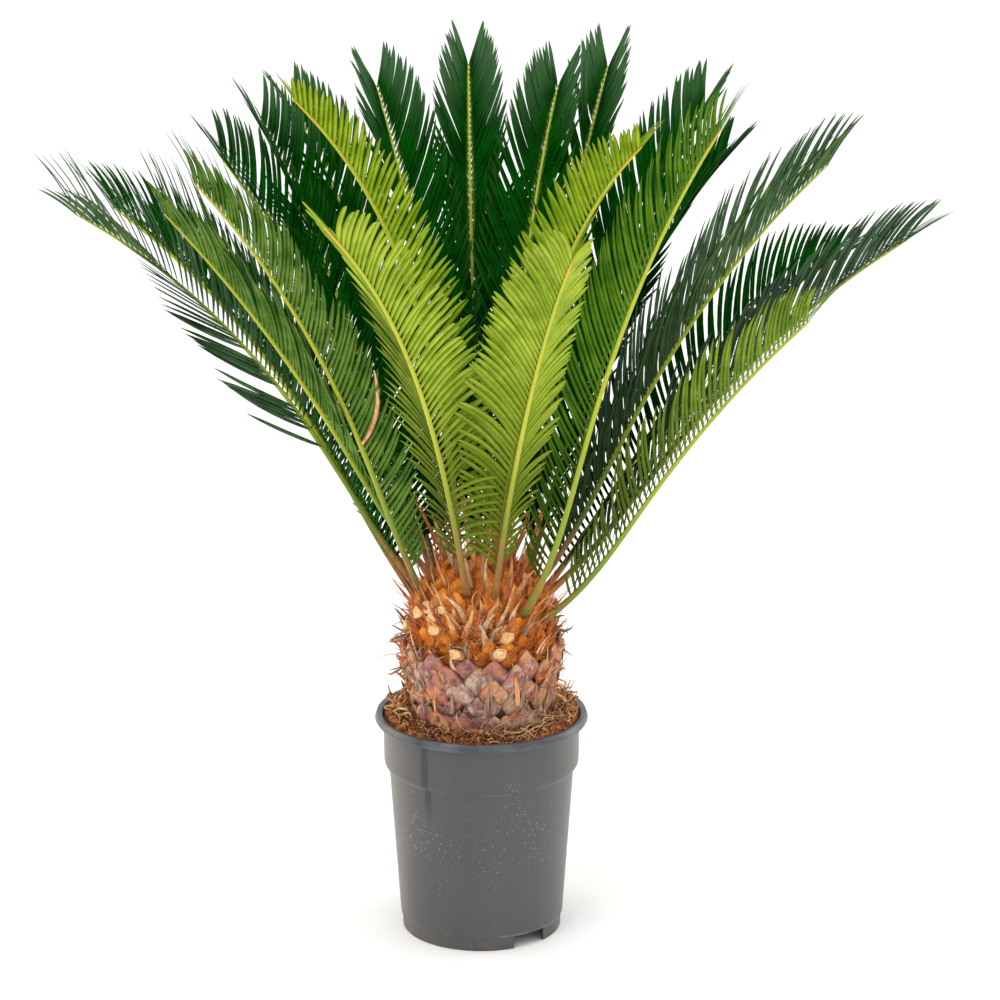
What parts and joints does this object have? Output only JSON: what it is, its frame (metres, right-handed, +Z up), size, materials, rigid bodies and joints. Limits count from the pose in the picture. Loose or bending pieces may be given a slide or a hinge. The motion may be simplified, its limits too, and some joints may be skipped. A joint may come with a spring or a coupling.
{
  "type": "sago palm in a nursery pot",
  "caption": "Potted sago palm: arching feather-shaped fronds over a short scaly trunk in a round tapered nursery pot filled with compost.",
  "frame": {"origin": "centre of the flat disc under the pot, on the surface the pot stands on", "axes": "+Z up along the pot's axis, -Y towards the plant's front, +X to the right seen from the front"},
  "size_m": [0.792, 0.7545, 0.8203],
  "materials": {
    "plastic": "satin dark grey moulded plastic",
    "compost": "moist brown coir compost",
    "bark": "dry scaly trunk with orange wool",
    "frond": "glossy dark green leaflets on a yellow-green rib",
    "young_frond": "bright yellow-green young leaflets"
  },
  "bodies": {
    "root": {"pot": "plastic", "soil": "compost", "trunk": "bark", "frond_01": "frond", "frond_02": "frond", "frond_03": "frond", "frond_04": "young_frond", "frond_05": "young_frond", "frond_06": "young_frond", "frond_07": "young_frond", "frond_08": "frond", "frond_09": "frond", "frond_10": "frond", "frond_11": "frond", "frond_12": "frond", "frond_13": "young_frond", "frond_14": "frond", "frond_15": "frond", "frond_16": "frond", "frond_17": "frond", "frond_18": "frond", "frond_19": "frond", "frond_20": "frond", "frond_21": "frond", "frond_22": "frond", "frond_23": "frond", "frond_24": "frond", "frond_25": "frond"}
  },
  "joints": []
}
